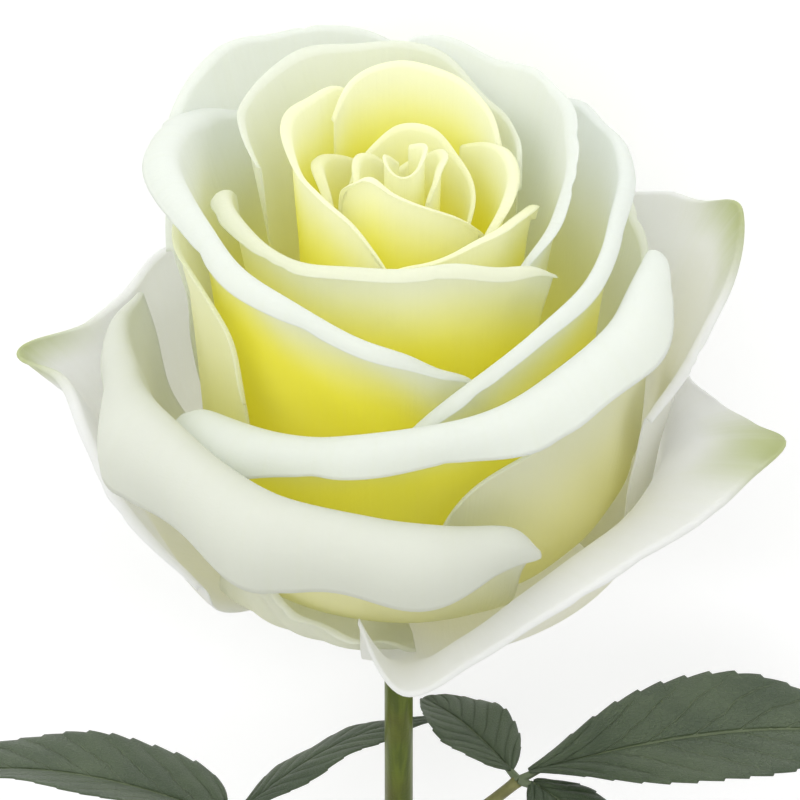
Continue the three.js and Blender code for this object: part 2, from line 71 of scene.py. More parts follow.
# Name, radius of the bowl, height where the bowl stands upright, how late the rim leans out, degrees the lip
# rolls over, then stations along the rim: azimuth, radius, height, length of the lip.
PETALS = [
  ["core", 2.4, 20, 1.6, 60, [[-166, 2.2, 68, 0.5], [-90, 2.4, 71, 0.6], [0, 2.5, 69.5, 0.6],
    [90, 2.9, 72, 0.8], [166, 3, 70, 0.8]]],
  ["bud_1", 4.2, 20, 1.6, 80, [[40, 4.6, 66, 0.8], [75, 5, 70.5, 1.2], [110, 5.2, 70, 1.2],
    [150, 5.2, 67, 1], [190, 5.2, 64, 0.8]]],
  ["bud_2", 5.4, 20, 1.6, 80, [[190, 5.6, 63, 0.8], [225, 5.9, 67.5, 1], [260, 6, 69, 1.2],
    [300, 6.2, 66, 1], [340, 6.3, 62, 0.8]]],
  ["bud_arch", 7, 21, 1.8, 60, [[60, 8.6, 58, 0.6], [80, 9.2, 63, 0.8], [105, 9, 65.5, 0.9],
    [128, 8.8, 66.5, 1], [153, 8.2, 69.2, 1], [183, 8, 69, 1], [208, 8, 66.8, 0.9],
    [235, 7.6, 64.5, 0.8], [262, 7.4, 62, 0.6]]],
  ["bud_front", 8.2, 22, 1.6, 90, [[-80, 8.4, 62, 0.8], [-68, 8.4, 67.5, 1], [-45, 8.4, 71.5, 1.4],
    [-28, 8.6, 73.6, 1.6], [-10, 8.6, 72, 1], [8, 8.7, 70.5, 0.8], [42, 9.5, 66.8, 0.8],
    [70, 10.6, 61, 0.8], [84, 11, 57, 0.6]]],
  ["bud_left", 9, 22, 2, 100, [[-150, 10.4, 62, 0.8], [-130, 10.8, 65, 1], [-110, 11, 67, 1.6],
    [-92, 10.6, 68, 2], [-78, 10, 66, 1.6], [-62, 9.8, 63, 1]]],
  ["bud_right", 10.6, 22, 2, 100, [[48, 12.6, 60, 0.8], [58, 13.4, 64.5, 1.4], [70, 14, 67, 2],
    [85, 14.2, 68, 2], [102, 13.6, 69, 1.6], [118, 13, 68, 1], [140, 12.4, 65, 0.8]]],
  ["inner_back", 12.4, 22, 2, 70, [[110, 14.2, 66, 0.8], [128, 14.6, 71, 1], [142, 14.6, 73, 1],
    [161, 14.6, 74.4, 1], [182, 14.6, 74.8, 1], [201, 14, 74.3, 1], [214, 13.2, 73.4, 1],
    [228, 12.6, 70, 0.8]]],
  ["inner_left", 13.4, 22, 2.2, 80, [[200, 15.8, 68, 0.8], [215, 16, 72.2, 1], [235, 15.6, 72.6, 1.4],
    [256, 15.2, 73.6, 1.8], [272, 14.8, 74, 1.8], [288, 14.3, 72, 1.2], [311, 14.3, 72.4, 1],
    [328, 14.5, 71.2, 1], [345, 15, 67, 0.8], [354, 15.2, 63, 0.6]]],
  ["inner_right", 14.6, 23, 2.2, 90, [[-14, 16, 58, 0.6], [-2, 16, 65.3, 0.8], [13, 16.1, 66, 1],
    [38, 16.4, 67.8, 1.4], [62, 16.4, 66.6, 2], [80, 17, 64.6, 2.2], [90, 17.4, 60, 1]]],
  ["cup_back", 16.4, 23, 2.4, 70, [[102, 16.2, 62, 0.8], [112, 17, 66.6, 0.8], [128, 18.8, 66.6, 0.8],
    [149, 21.6, 66, 1], [171, 24.2, 69, 1.2], [190, 25, 70.6, 1.4], [206, 25, 71.2, 1.6],
    [225, 25, 70.6, 1.6], [240, 24, 70, 1.4], [256, 21.4, 70.6, 1.2], [270, 19.6, 69, 0.8]]],
  ["cup_right", 17.8, 23, 2.4, 80, [[38, 19.6, 58, 0.8], [50, 21, 64.6, 1.4], [60, 21.8, 67.4, 2],
    [72, 21.9, 69.4, 2.4], [88, 22.2, 71.4, 2.4], [102, 22.4, 71.8, 2.2], [118, 23.6, 72, 1.6],
    [138, 25.6, 70.2, 1.2], [152, 26.6, 68.4, 1], [166, 27, 70.2, 1], [177, 27.4, 68.4, 1],
    [185, 27.4, 63, 0.8]]],
  ["cup_front", 19.8, 24, 2.4, 130, [[-94, 23, 63, 1.4], [-84, 23.2, 66.6, 3], [-70, 23.4, 68, 3.2],
    [-55, 22.6, 67.4, 2.8], [-38, 21.8, 67.8, 2.6], [-21, 21.4, 69, 2.6], [0, 21.5, 69.8, 3],
    [16, 21.7, 70, 3.2], [32, 22.2, 67.8, 2.8], [45, 23, 66, 2.2], [55, 24.6, 62.6, 1]]],
  ["left", 25, 25, 3.5, 140, [[-146, 29, 57, 2], [-132, 29.8, 61, 4], [-118, 30, 65, 5],
    [-104, 30, 69, 5.8], [-92, 29.8, 70.6, 6], [-78, 29.4, 70.8, 5.6], [-62, 29, 70.6, 5],
    [-44, 28.8, 68.6, 4.2], [-28, 28.8, 67, 3.8], [-12, 28.8, 64.6, 3.2], [0, 28.8, 62, 2.6],
    [9, 28.6, 58.6, 1.8], [17, 28, 56, 1.2], [25, 26.4, 49, 0.8]]],
  ["right", 26.8, 25, 3.5, 130, [[-6, 31.4, 44, 1.5], [2, 31.6, 50.5, 2.4], [18, 31.8, 59.4, 2.8],
    [36, 31.4, 64.8, 2.8], [52, 30.6, 66, 2.8], [68, 29.6, 67.5, 3], [86, 29.2, 68.6, 2.6],
    [100, 29, 68.6, 2.4], [113, 28.6, 67, 2], [126, 28.6, 66, 2], [140, 29, 62, 2], [154, 29, 55, 1.5]]],
  ["left_side", 28.2, 27, 3, 60, [[-136, 30.4, 48, 1], [-115, 30.8, 58, 1], [-90, 30.8, 60, 1],
    [-66, 30.6, 61, 1], [-50, 30.4, 58, 1], [-44, 30.4, 46, 0.8]]],
  ["back_left", 30.2, 27, 3.5, 120, [[166, 34.5, 52, 1.5], [182, 35.4, 61.6, 2], [196, 36.4, 64.6, 2.2],
    [209, 37.2, 66, 2.2], [222, 37, 66.8, 2.4], [234, 35.8, 66.4, 2.4], [243, 34.6, 65.4, 2.2],
    [252, 33.2, 58, 1.8], [258, 32.6, 48, 1.5]]],
  ["front_band", 31.4, 26, 4, 150, [[-56, 34.4, 42, 6], [-49, 34.6, 45.4, 9.5], [-38, 34.8, 48, 10.5],
    [-28, 35, 49.8, 9], [-15, 35.4, 52, 7.6], [5, 35.6, 55, 7.6], [20, 36, 57.2, 9],
    [34, 36.2, 59.8, 10.5], [48, 36.2, 62.4, 11], [60, 34.8, 64, 7], [70, 34.2, 63.6, 4.2],
    [79, 34, 60, 2.6], [88, 33.4, 51, 1.4]]],
  ["back_right", 32.6, 27, 3, 120, [[98, 33.6, 46, 1.2], [112, 34.2, 50, 1.6], [135, 34.8, 52, 2],
    [152, 34.8, 51, 1.6], [167, 34.2, 46, 1.2]]],
  ["front_under", 33.8, 26, 3, 60, [[6, 36.4, 32, 0.8], [11, 36.8, 41, 1], [20, 37.4, 47, 1],
    [38, 37.6, 50, 1], [56, 37, 51, 1], [70, 35.4, 48, 1], [80, 34.6, 40, 0.8]]],
  ["front_low", 35, 23, 3.4, 165, [[-104, 38, 38, 2], [-90, 38.6, 40.6, 5], [-78, 38.2, 42.6, 8.5],
    [-62, 39.6, 46.8, 13.5], [-50, 41.2, 49.2, 18], [-36, 42.4, 48.4, 19], [-20, 42.4, 46.4, 18],
    [-5, 42.2, 44.6, 16.5], [8, 42, 43, 14.5], [20, 41.8, 40, 8], [26, 41.4, 34, 1.5]]],
  ["guard_front", 35.2, 14, 2, 100, [[-46, 36, 21, 1], [-40, 36, 24, 1.4], [-34, 36.2, 21.6, 1.4],
    [-26, 36.4, 18, 1.4], [-14, 36, 15, 1.2], [-4, 35, 13, 0.8], [3, 32.4, 9.4, 0.6]]],
  ["right_back", 36, 20, 2.6, 120, [[58, 38.4, 42, 1.5], [68, 39.6, 44.4, 1.6], [80, 42.4, 47, 1.6],
    [88, 45, 50.4, 1.4], [96, 46.2, 57.6, 0.6], [104, 42.8, 54, 1.2], [114, 40.6, 50.5, 1.4],
    [124, 39, 46, 1.5], [136, 37.8, 40, 1.5]]],
  ["guard_left", 36.8, 14, 2, 120, [[-132, 37.2, 33, 1.2], [-118, 37.8, 38, 1.4], [-106, 39.6, 38, 1.6],
    [-96, 44.4, 37, 1.6], [-87, 53.4, 37.4, 0.5], [-79, 48, 39, 1.4], [-68, 46.6, 36, 2],
    [-56, 45, 30, 1.8], [-48, 43.6, 25, 1.4], [-43, 41, 19, 0.8]]],
  ["guard_right", 37.6, 15, 7, 140, [[-9, 38.6, 21, 1], [0, 46, 16, 1.2], [12, 46.8, 22.5, 1.4],
    [24, 48.6, 30, 1.6], [38, 49.6, 34.6, 1.8], [50, 51.6, 36, 1.8], [60, 54, 38, 1.6],
    [66, 56.4, 39.4, 0.5], [72, 50.2, 36.4, 1.4], [79, 44.6, 33.4, 1.4], [86, 41, 32, 1.2],
    [95, 39.4, 30, 1]]],
  ["guard_back_a", 38.4, 16, 2.4, 130, [[126, 40.5, 20, 1.5], [138, 44, 27, 3], [150, 48, 31, 3.4],
    [162, 48, 31, 3], [176, 44, 25, 1.5]]],
  ["guard_back_b", 39, 15, 2.4, 130, [[184, 44, 25, 1.5], [198, 48, 31, 3], [210, 48, 31, 3.4],
    [222, 44, 27, 3], [234, 40.5, 20, 1.5]]],
]
# Yellow of each petal at its rim and in its depth, and over how many millimetres it deepens. Unlisted petals
# are the bud's, which share BUD_YELLOW.
BUD_YELLOW = (0.24, 1, 15)
YELLOW = {"cup_back": (0.10, 0.95, 26), "cup_right": (0.03, 0.9, 30), "cup_front": (0.15, 1, 18),
          "left": (0.03, 1, 16), "right": (0.02, 0.95, 24), "left_side": (0.25, 0.5, 26),
          "back_left": (0.05, 0.5, 40), "front_band": (0.03, 1, 14), "back_right": (0.1, 0.6, 30),
          "right_back": (0.02, 0.3, 40), "front_under": (0.2, 0.8, 26), "front_low": (0.03, 0.6, 30),
          "guard_front": (0.1, 0.3, 20), "guard_left": (0.02, 0.25, 30), "guard_right": (0.03, 0.25, 30),
          "guard_back_a": (0.03, 0.25, 30), "guard_back_b": (0.03, 0.25, 30)}
# Lips that lie open instead of rolling under: from which azimuth to which, and how much less they turn.
OPEN_LIP = {"front_band": (12, 40, 0.2), "left": (-75, -105, 0.25), "cup_right": (60, 90, 0.3)}
# Azimuth of the green point that some outer petals end in.
GREEN_TIP = {"guard_left": -87, "guard_right": 66, "right_back": 96}


def between(rows, places, wanted):
    """Smooth values between stations: a cubic through the rows."""
    slopes = np.gradient(rows, places, axis=0)
    i = np.clip(np.searchsorted(places, wanted) - 1, 0, len(places) - 2)
    span = (places[i + 1] - places[i])[:, None]
    t = (wanted - places[i])[:, None] / span
    return ((2 * t**3 - 3 * t**2 + 1) * rows[i] + (t**3 - 2 * t**2 + t) * span * slopes[i]
            + (3 * t**2 - 2 * t**3) * rows[i + 1] + (t**3 - t**2) * span * slopes[i + 1])


def smooth(x, low, high):
    """0 below low, 1 above high, and a soft step between them."""
    t = np.clip((x - low) / (high - low), 0, 1)
    return t * t * (3 - 2 * t)


def evened(values):
    """Running mean of five."""
    return np.convolve(np.pad(values, 2, "edge"), np.ones(5) / 5, "valid")


def petal_rim(order, columns, rng):
    """Azimuth, radius, height and lip length of a petal's rim at each column, and its waves, about 1 high."""
    table = np.array(PETALS[order][-1], float)
    steps = np.linalg.norm(np.diff(around(*table[:, :3].T), axis=0), axis=1)
    places = np.concatenate([[0], np.cumsum(steps)])
    u = np.linspace(0, 1, columns + 1)
    run = u * places[-1]
    az, rim, top, lip = between(table, places, run).T
    wave = sum(rng.uniform(0.4, 1) / k * np.sin(2 * np.pi * (k * run / RIM_WAVE_LENGTH + rng.uniform()))
               for k in (1, 2, 3.3))
    lip_wave = np.sin(2 * np.pi * (run / LIP_WAVE_LENGTH + rng.uniform()))
    lip = np.maximum(lip, SHORTEST_LIP) * (1 + LIP_WAVE * lip_wave)
    if order > BUD_PETALS:
        for nick in rng.uniform(0.12, 0.9, NICKS):
            lip = lip - rng.uniform(0.1, 0.5) * np.exp(-((u - nick) / rng.uniform(0.008, 0.02)) ** 2)
        lip = np.maximum(lip, SHORTEST_LIP)
    return az, rim, top, lip, wave


def petal_tints(order, az, depth, along):
    """How yellow and how green a petal is at each point, depth millimetres below its rim."""
    name = PETALS[order][0]
    at_rim, deep, fade = YELLOW.get(name, BUD_YELLOW)
    if order >= BUD_PETALS:
        fade = fade * (1 + 1.4 * smooth(np.abs((az + 180) % 360 - 180), 50, 115))[:, None]
    yellow = at_rim + (deep - at_rim) * smooth(depth / fade, 0, 1)
    green = np.zeros_like(yellow)
    if name in GREEN_TIP:
        green += np.exp(-((az - GREEN_TIP[name]) / 7) ** 2)[:, None] * smooth(along, 0.86, 1)
    return yellow, green


def petal_sheet(order, columns, rows, lip_rows):
    """Points of one petal and its tints; columns run along the rim, rows from the claw and over the lip."""
    name, bowl, bowl_top, lean, turn, table = PETALS[order]
    rng = np.random.default_rng(100 + order)
    rank = order / (len(PETALS) - 1)
    claw_r = CLAW_RADII[0] + (CLAW_RADII[1] - CLAW_RADII[0]) * rank
    claw_h = RECEPTACLE_HEIGHT * (1 - rank)
    az, rim, top, lip, wave = petal_rim(order, columns, rng)
    size = 0.35 if order < BUD_PETALS else 1
    u = np.linspace(0, 1, columns + 1)
    top = top + RIM_WAVE * size * wave * smooth(np.minimum(u, 1 - u), 0, 0.15)

    def bowl_at(y):
        t = np.clip((y - claw_h) / (bowl_top - claw_h), 0, 1)
        return claw_r + (bowl - claw_r) * np.sqrt(1 - (1 - t) ** 2)

    # The body, from the claw up the bowl to the rim, with soft dents.
    v = np.linspace(0, 1, rows + 1)
    rise = v**2 / (v**2 + (1 - v) * (0.35 + 0.65 * v))
    y = claw_h + (top[:, None] - claw_h) * rise
    r = bowl_at(y) + (rim - bowl_at(top))[:, None] * rise**lean
    r = r + 0.3 * size * wave[:, None] * rise**3
    for _ in range(3):
        turns, rows_up = rng.uniform(1, 5), rng.uniform(1, 4)
        r = r + 0.16 * size * np.sin(2 * np.pi * (turns * u[:, None] + rows_up * v + rng.uniform())) * rise
    middle = (table[0][0] + table[-1][0]) / 2
    claw_width, widening = (0.8, 4) if name.startswith("guard") else (0.4, 10)
    width = claw_width + (1 - claw_width) * smooth(y - claw_h, 0, widening)
    body = around(middle + (az - middle)[:, None] * width, r, y)

    # The lip, which goes on from the body's heading and rolls over.
    heading = np.arctan2(r[:, -1] - r[:, -2], y[:, -1] - y[:, -2])
    heading = np.arctan2(evened(np.sin(heading)), evened(np.cos(heading)))
    part = (np.arange(lip_rows) + 0.5) / lip_rows
    start, end, share = OPEN_LIP.get(name, (0, 1, 0))
    turns = math.radians(turn) * (1 - share * smooth((az - start) / (end - start), 0, 1))
    lean_out = heading[:, None] + turns[:, None] * (1 - (1 - part) ** 2)
    lip_r = r[:, -1:] + np.cumsum(np.sin(lean_out) * lip[:, None] / lip_rows, 1)
    lip_y = y[:, -1:] + np.cumsum(np.cos(lean_out) * lip[:, None] / lip_rows, 1)
    over = around(az[:, None] + 0 * lip_r, lip_r, lip_y)

    along = np.concatenate([rise + 0 * y, np.ones_like(lip_r)], 1)
    yellow, green = petal_tints(order, az, (1 - along) * (top[:, None] - claw_h), along)
    return np.concatenate([body, over], 1), yellow, green


def closed_shell(grid, thickness):
    """Vertices and faces of a closed sheet over a grid of points, thinner towards its free edges."""
    n, m = grid.shape[:2]
    along = np.gradient(grid, axis=0)
    up = np.gradient(grid, axis=1)
    normal = np.cross(along, up)
    normal /= np.linalg.norm(normal, axis=-1, keepdims=True) + 1e-12
    i, j = np.meshgrid(np.arange(n), np.arange(m), indexing="ij")
    inward = np.minimum(np.minimum(i, n - 1 - i) / n, (m - 1 - j) / m)
    half = thickness / 2 * (FREE_EDGE + (1 - FREE_EDGE) * smooth(inward, 0, 0.05))[..., None]
    points = np.concatenate([(grid + normal * half).reshape(-1, 3), (grid - normal * half).reshape(-1, 3)])
    a = (i[:-1, :-1] * m + j[:-1, :-1]).ravel()
    front = np.stack([a, a + m, a + m + 1, a + 1], -1)
    back = front[:, ::-1] + n * m
    edges = (np.arange(n) * m, np.arange(n)[::-1] * m + m - 1, np.arange(m)[::-1], (n - 1) * m + np.arange(m))
    rims = []
    for ring in edges:
        rims.append(np.stack([ring[1:], ring[:-1], ring[:-1] + n * m, ring[1:] + n * m], -1))
    return points, np.concatenate([front, back] + rims)


def make_piece(name, points, faces, material, node_names, uv=None, tints=None):
    """A smooth mesh laid on the table, with its own UV map and painted tints, standing for its CAD nodes."""
    mesh = bpy.data.meshes.new(name)
    mesh.from_pydata(laid(points).tolist(), [], [list(map(int, f)) for f in faces])
    mesh.polygons.foreach_set("use_smooth", [True] * len(mesh.polygons))
    corner = np.zeros(len(mesh.loops), int)
    mesh.loops.foreach_get("vertex_index", corner)
    if uv is not None:
        layer = mesh.uv_layers.new(name="UVMap")
        layer.data.foreach_set("uv", np.asarray(uv)[corner].ravel())
    for key, values in (tints or {}).items():
        tint = mesh.attributes.new(key, "FLOAT", "POINT")
        tint.data.foreach_set("value", np.asarray(values, float).ravel())
    mesh.materials.append(material)
    piece = bpy.data.objects.new(name, mesh)
    scene.collection.objects.link(piece)
    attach(piece, "root")
    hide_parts(*node_names)
    return piece


class Wire:
    """A socket of the material being drawn, so that shader maths reads as arithmetic."""
    tree = None

    def __init__(self, socket):
        self.socket = socket

    @classmethod
    def node(cls, kind, settings=None, inputs=None, output=0):
        """Any node, from its type, its settings, and the values or wires of its sockets."""
        made = cls.tree.nodes.new(kind)
        for key, value in (settings or {}).items():
            setattr(made, key, value)
        for key, value in (inputs or {}).items():
            if isinstance(value, Wire):
                cls.tree.links.new(value.socket, made.inputs[key])
            else:
                made.inputs[key].default_value = value
        return Wire(made.outputs[output]) if len(made.outputs) else None

    def math(self, operation, *others):
        """Result of a Math node on this number and others."""
        return Wire.node("ShaderNodeMath", {"operation": operation}, dict(enumerate((self, *others))))

    def __add__(self, other):
        return self.math("ADD", other)

    def __sub__(self, other):
        return self.math("SUBTRACT", other)

    def __rsub__(self, other):
        return Wire.node("ShaderNodeMath", {"operation": "SUBTRACT"}, {0: other, 1: self})

    def __mul__(self, other):
        return self.math("MULTIPLY", other)

    __radd__, __rmul__ = __add__, __mul__

    def clip(self):
        """Kept between 0 and 1."""
        return Wire.node("ShaderNodeClamp", {}, {"Value": self})

    def band(self, low, high):
        """A soft step from 0 at low to 1 at high."""
        return Wire.node("ShaderNodeMapRange", {"interpolation_type": "SMOOTHSTEP"},
                         {"Value": self, "From Min": low, "From Max": high})

    @classmethod
    def blend(cls, amount, first, second):
        """Colour between first and second."""
        inputs = {"Factor": amount, 6: first, 7: second}
        return cls.node("ShaderNodeMix", {"data_type": "RGBA"}, inputs, output=2)


def new_material(name):
    """An empty material, which the next wires are drawn in."""
    material = bpy.data.materials.new(name)
    material.use_nodes = True
    material.node_tree.nodes.clear()
    Wire.tree = material.node_tree
    return material


def finish_surface(colour, roughness, bump=None, bump_depth=0.0001, fixed=None, glow=None):
    """Principled surface. glow is the light that soft tissue lets through: its share and colour, and maybe
    a second colour and how far that one takes over."""
    inputs = {"Base Color": colour, "Roughness": roughness, **(fixed or {})}
    if "Emission Strength" in inputs:
        inputs["Emission Color"] = colour
    if bump is not None:
        relief = {"Strength": 1.0, "Distance": bump_depth, "Height": bump}
        inputs["Normal"] = Wire.node("ShaderNodeBump", {}, relief)
    surface = Wire.node("ShaderNodeBsdfPrincipled", {}, inputs)
    if glow:
        through = Wire.node("ShaderNodeBsdfTranslucent", {}, {"Color": glow[1]})
        if len(glow) > 2:
            tinted = Wire.node("ShaderNodeBsdfTranslucent", {}, {"Color": glow[2]})
            through = Wire.node("ShaderNodeMixShader", {}, {0: glow[3], 1: through, 2: tinted})
        surface = Wire.node("ShaderNodeMixShader", {}, {0: glow[0], 1: surface, 2: through})
    Wire.node("ShaderNodeOutputMaterial", {}, {"Surface": surface})


def petal_material(name, rim, base, green_tip, let_through, painted_glow=0.075):
    """Satin skin with fine veins along the petal; yellow and green are painted tints of the mesh. Its weak
    emission is a painted glow that lifts the shade between the petals.
    """
    material = new_material(name)
    uv = Wire.node("ShaderNodeUVMap")
    yellow = Wire.node("ShaderNodeAttribute", {"attribute_name": "yellow"}, output=2)
    green = Wire.node("ShaderNodeAttribute", {"attribute_name": "green"}, output=2)
    vein_place = Wire.node("ShaderNodeMapping", {}, {"Vector": uv, "Scale": (90, 3.2, 1)})
    veins = Wire.node("ShaderNodeTexNoise", {}, {"Vector": vein_place, "Scale": 1.0, "Detail": 3.0})
    place = Wire.node("ShaderNodeTexCoord", output=3)
    clouds = Wire.node("ShaderNodeTexNoise", {}, {"Vector": place, "Scale": 55.0, "Detail": 2.0})
    cells = Wire.node("ShaderNodeTexNoise", {}, {"Vector": place, "Scale": 2600.0, "Detail": 1.0})
    amount = (yellow * (0.86 + 0.28 * clouds) + (veins - 0.5) * 0.10 * yellow).clip()
    colour = Wire.blend(amount, (*rim, 1), (*base, 1))
    colour = Wire.blend((green * (0.75 + 0.6 * veins)).clip(), colour, (*green_tip, 1))
    colour = Wire.blend((veins.band(0.45, 0.8)) * 0.10, colour, (0.72, 0.76, 0.52, 1))
    height = veins * 0.7 + cells * 0.3 + clouds * 0.3
    # The emission strength is a painted glow: it brightens the petals from within, where shade falls between
    # them.
    finish_surface(colour, 0.5 + 0.16 * veins, height, 0.00016,
                   {"Specular IOR Level": 0.3, "Emission Strength": painted_glow},
                   (0.5, (*let_through, 1), (0.97, 0.95, 0.44, 1), amount))
    return material


heart_petal = petal_material("petal", rim=(0.82, 0.85, 0.84), base=(0.96, 0.92, 0.12),
                             green_tip=(0.42, 0.50, 0.13), let_through=(0.88, 0.90, 0.89), painted_glow=0.1)
# The bud's petals get a lighter copy of the petal skin with a stronger painted glow: painted light against
# the shade deep in the heart.
lit_bud_petal = petal_material("lit_bud_petal", rim=(0.90, 0.92, 0.89), base=(0.97, 0.94, 0.14),
                           green_tip=(0.42, 0.50, 0.13), let_through=(0.95, 0.96, 0.93), painted_glow=0.115)
guard_petal = petal_material("guard_petal", rim=(0.86, 0.87, 0.87), base=(0.86, 0.84, 0.54),
                             green_tip=(0.40, 0.46, 0.13), let_through=(0.90, 0.90, 0.90))
# A darker copy of the petal skin for the lower front petals: painted shade, as they face away from the light.
shaded_lower_petal = petal_material("shaded_lower_petal", rim=(0.79, 0.81, 0.77), base=(0.87, 0.86, 0.46),
                             green_tip=(0.40, 0.46, 0.13), let_through=(0.85, 0.86, 0.81))
for order, (name, *_) in enumerate(PETALS):
    columns, rows, lip_rows = (60, 40, 6) if order < BUD_PETALS else (104, 64, 14)
    grid, yellow, green = petal_sheet(order, columns, rows, lip_rows)
    points, faces = closed_shell(grid, PETAL_THICKNESS)
    across, up = (np.linspace(0, 1, count) for count in grid.shape[:2])
    across, up = np.meshgrid(across, up, indexing="ij")
    uv = np.tile(np.stack([across, up], -1).reshape(-1, 2), (2, 1))
    tints = {"yellow": np.tile(yellow.ravel(), 2), "green": np.tile(green.ravel(), 2)}
    guard = name.startswith("guard") or name == "right_back"
    skin = lit_bud_petal if order < BUD_PETALS else guard_petal if guard else heart_petal
    # The lower front petals take the darker copy, which is painted shade.
    if name in ("front_low", "front_under", "guard_front"):
        skin = shaded_lower_petal
    make_piece("petal_" + name, points, faces, skin, ["petal_" + name],
               uv, tints)

# ---------------------------------------------------------------------------------------------------------
# Hip: the firm green swelling under the bloom, turned smooth, with a cone inside on which the petals sit.
# Five faint ribs run down it between the sepals.
# ---------------------------------------------------------------------------------------------------------


def green_material(name, light, dark, blush, streak_scale, roughness):
    """Green skin with streaks of light and dark, patches of a blush, and a fine grain."""
    material = new_material(name)
    place = Wire.node("ShaderNodeTexCoord", output=3)
    stretched = Wire.node("ShaderNodeMapping", {}, {"Vector": place, "Scale": streak_scale})
    streaks = Wire.node("ShaderNodeTexNoise", {}, {"Vector": stretched, "Scale": 1.0, "Detail": 4.0})
    patches = Wire.node("ShaderNodeTexNoise", {}, {"Vector": place, "Scale": 38.0, "Detail": 3.0})
    grain = Wire.node("ShaderNodeTexNoise", {}, {"Vector": place, "Scale": 2200.0, "Detail": 1.0})
    colour = Wire.blend(streaks.band(0.3, 0.7), (*light, 1), (*dark, 1))
    colour = Wire.blend(patches.band(0.56, 0.74) * 0.5, colour, (*blush, 1))
    finish_surface(colour, roughness + 0.14 * streaks, streaks * 0.7 + grain * 0.3, 0.00012,
                   {"Specular IOR Level": 0.3})
    return material


def turned(profile, sides, swell):
    """A body turned about the stem's axis, which its profile starts and ends on; swell widens its rings."""
    angle = 360 * np.arange(sides) / sides
    rings = [around(angle, r + swell(angle, h), h + 0 * angle) for r, h in profile[1:-1]]
    points = np.concatenate([[[0, profile[0][1], 0]]] + rings + [[[0, profile[-1][1], 0]]])
    faces, count = [], len(rings)
    for s in range(sides):
        t = (s + 1) % sides
        faces.append([0, 1 + t, 1 + s])
        faces += [[1 + k * sides + s, 1 + k * sides + t, 1 + (k + 1) * sides + t, 1 + (k + 1) * sides + s]
                  for k in range(count - 1)]
        faces.append([1 + (count - 1) * sides + s, 1 + (count - 1) * sides + t, 1 + count * sides])
    return points, faces


HIP_RADIUS, HIP_LENGTH = 5.6, 11
HIP_NECK, HIP_SWELL = 2.25, 3.3  # radius where the stem starts, and how much wider it gets above
FIRST_SEPAL = 12  # azimuth of the first sepal


def ribs(angle, height):
    """Five shallow ribs on the green part of the hip, in line with the sepals."""
    return 0.10 * np.cos(np.radians(5 * (angle - FIRST_SEPAL))) * (height < -1)


hip_profile = [(0, -HIP_LENGTH)]
for t in np.linspace(0, 1, 18):
    hip_profile.append((HIP_NECK + HIP_SWELL * math.sin(math.pi * min(t * 0.62, 0.5)) ** 1.4,
                        -HIP_LENGTH + 9.6 * t))
hip_profile += [(5.1, -0.9), (4.5, -0.6), (2.4, 6), (0.4, 12.2), (0, 12.3)]
hip_green = green_material("hip", (0.20, 0.29, 0.07), (0.13, 0.21, 0.05), (0.26, 0.22, 0.07),
                           (60, 60, 400), 0.34)
hip_points, hip_faces = turned(hip_profile, 60, ribs)
make_piece("hip", hip_points, hip_faces, hip_green, ["hip"])

# ---------------------------------------------------------------------------------------------------------
# Sepals: five narrow pointed leaves spread flat under the bloom, green outside and paler and downy inside.
# Each is a thin sheet grown from the hip's shoulder, with a fringe of small teeth along its sides.
# ---------------------------------------------------------------------------------------------------------
SEPAL_LENGTH, SEPAL_WIDTH, SEPAL_THICKNESS, FRINGE = 17, 6.5, 0.5, 0.35
sepal_green = green_material("sepal", (0.17, 0.26, 0.07), (0.11, 0.18, 0.05), (0.30, 0.34, 0.16),
                             (300, 300, 300), 0.5)
for k in range(5):
    azimuth = FIRST_SEPAL + 72 * k
    t, s = np.meshgrid(np.linspace(0, 1, 40), np.linspace(-1, 1, 17))
    half = SEPAL_WIDTH / 2 * (0.15 + 0.85 * np.sin(np.pi * (0.25 + 0.72 * t)) ** 1.3)
    half = half + FRINGE * np.abs(s) ** 6 * np.abs(np.sin(np.pi * 7 * t)) * (1 - t)
    height = -3.4 + 3.2 * t - 2.6 * t**4 - 0.25 * np.abs(s) + 0.12 * np.cos(3 * np.pi * s)
    middle_line = around(azimuth, HIP_RADIUS + 0.6 + SEPAL_LENGTH * t, height)
    points, faces = closed_shell(middle_line + around(azimuth + 90, s * half, 0 * t), SEPAL_THICKNESS)
    make_piece(f"sepal_{k + 1}", points, faces, sepal_green, [f"sepal_{k + 1}"])

# ---------------------------------------------------------------------------------------------------------
# Stem: one straight green shoot, a little thicker and bowed towards its slanting cut, swollen where the two
# leaves start. Its skin is smooth and lightly streaked, with browner patches.
# ---------------------------------------------------------------------------------------------------------
STEM_TOP, STEM_LENGTH, STEM_RADIUS, STEM_END_RADIUS = -HIP_LENGTH - 0.3, 268, 2.15, 2.7
STEM_CUT = 38  # degrees the cut slants, from square
STEM_BOW, BOW_START = 4, -60  # sideways bow, and the height it starts at
LEAF_NODES = (-75, -84)  # heights at which the two leaves start
LEAF_SWELLING = 0.5


def stem_axis(y):
    """Points on the stem's middle line at heights y."""
    bow = STEM_BOW * np.maximum(0, (BOW_START - y) / 220) ** 2
    return np.stack([-0.6 - bow, y, 0.4 * bow], -1)


def stem_radius(y):
    """Its radius there, with the swelling at each leaf."""
    swelling = sum(LEAF_SWELLING * np.exp(-((y - at) / 4) ** 2) for at in LEAF_NODES)
    return STEM_RADIUS + (STEM_END_RADIUS - STEM_RADIUS) * (STEM_TOP - y) / STEM_LENGTH + swelling


